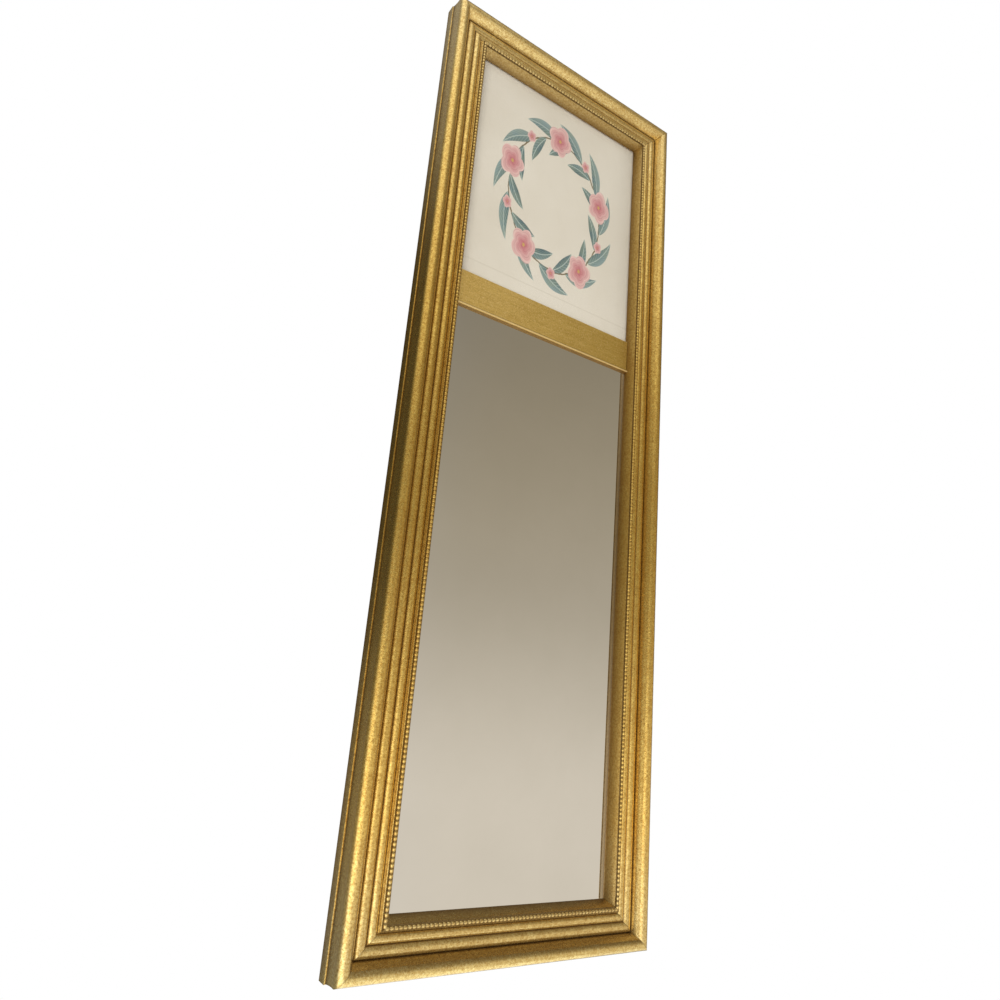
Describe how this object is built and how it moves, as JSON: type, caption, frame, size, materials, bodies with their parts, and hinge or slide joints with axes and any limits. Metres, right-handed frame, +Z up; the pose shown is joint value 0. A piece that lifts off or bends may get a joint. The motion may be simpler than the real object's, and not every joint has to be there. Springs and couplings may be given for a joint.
{
  "type": "pier mirror",
  "caption": "Tall narrow gilt wall mirror with a pearl-edged moulding, a glazed picture panel over a flat rail and a plain looking glass below.",
  "frame": {"origin": "middle of the whole object's box", "axes": "+Z up along the height, +Y to the wall through the depth, +X to the right seen from the front"},
  "size_m": [0.3058, 0.0344, 0.919],
  "materials": {
    "gilt_moulding": "antique gold leaf over gesso, mottled, satin",
    "gilt_pearls": "antique gold leaf, rubbed on the crests",
    "gilt_rail": "gold paint with a fine horizontal brush",
    "dowel_wood": "plain beech",
    "clear_glass": "clear float glass",
    "print_paper": "matt printed paper",
    "hardboard": "brown pressed hardboard",
    "silvered_glass": "plain silvered plate",
    "point_steel": "bright steel strip",
    "nail_steel": "plain wire nail",
    "strap_steel": "yellow zinc plated",
    "ring_steel": "yellow zinc plated wire",
    "screw_steel": "zinc plated",
    "bumper_rubber": "soft dark rubber"
  },
  "bodies": {
    "frame": {"left_stile": "gilt_moulding", "right_stile": "gilt_moulding", "top_rail": "gilt_moulding", "bottom_rail": "gilt_moulding", "left_pearl_slip": "gilt_pearls", "right_pearl_slip": "gilt_pearls", "top_pearl_slip": "gilt_pearls", "bottom_pearl_slip": "gilt_pearls", "divider_rail": "gilt_rail", "rail_dowels": "dowel_wood", "picture_glass": "clear_glass", "picture_print": "print_paper", "picture_backing_board": "hardboard", "mirror_plate": "silvered_glass", "mirror_backing_board": "hardboard", "framing_points": "point_steel", "corner_nails": "nail_steel", "left_hanger_strap": "strap_steel", "right_hanger_strap": "strap_steel", "hanger_screws": "screw_steel", "wall_bumpers": "bumper_rubber"},
    "left_ring": {"left_hanger_ring": "ring_steel"},
    "right_ring": {"right_hanger_ring": "ring_steel"}
  },
  "joints": [
    {"name": "left_ring_hinge", "type": "hinge", "parent": "frame", "child": "left_ring", "pos_m": [-0.13395, 0.01465, 0.3095], "axis": [1, 0, 0], "range_deg": [0, 180]},
    {"name": "right_ring_hinge", "type": "hinge", "parent": "frame", "child": "right_ring", "pos_m": [0.13395, 0.01465, 0.3095], "axis": [1, 0, 0], "range_deg": [0, 180]}
  ]
}
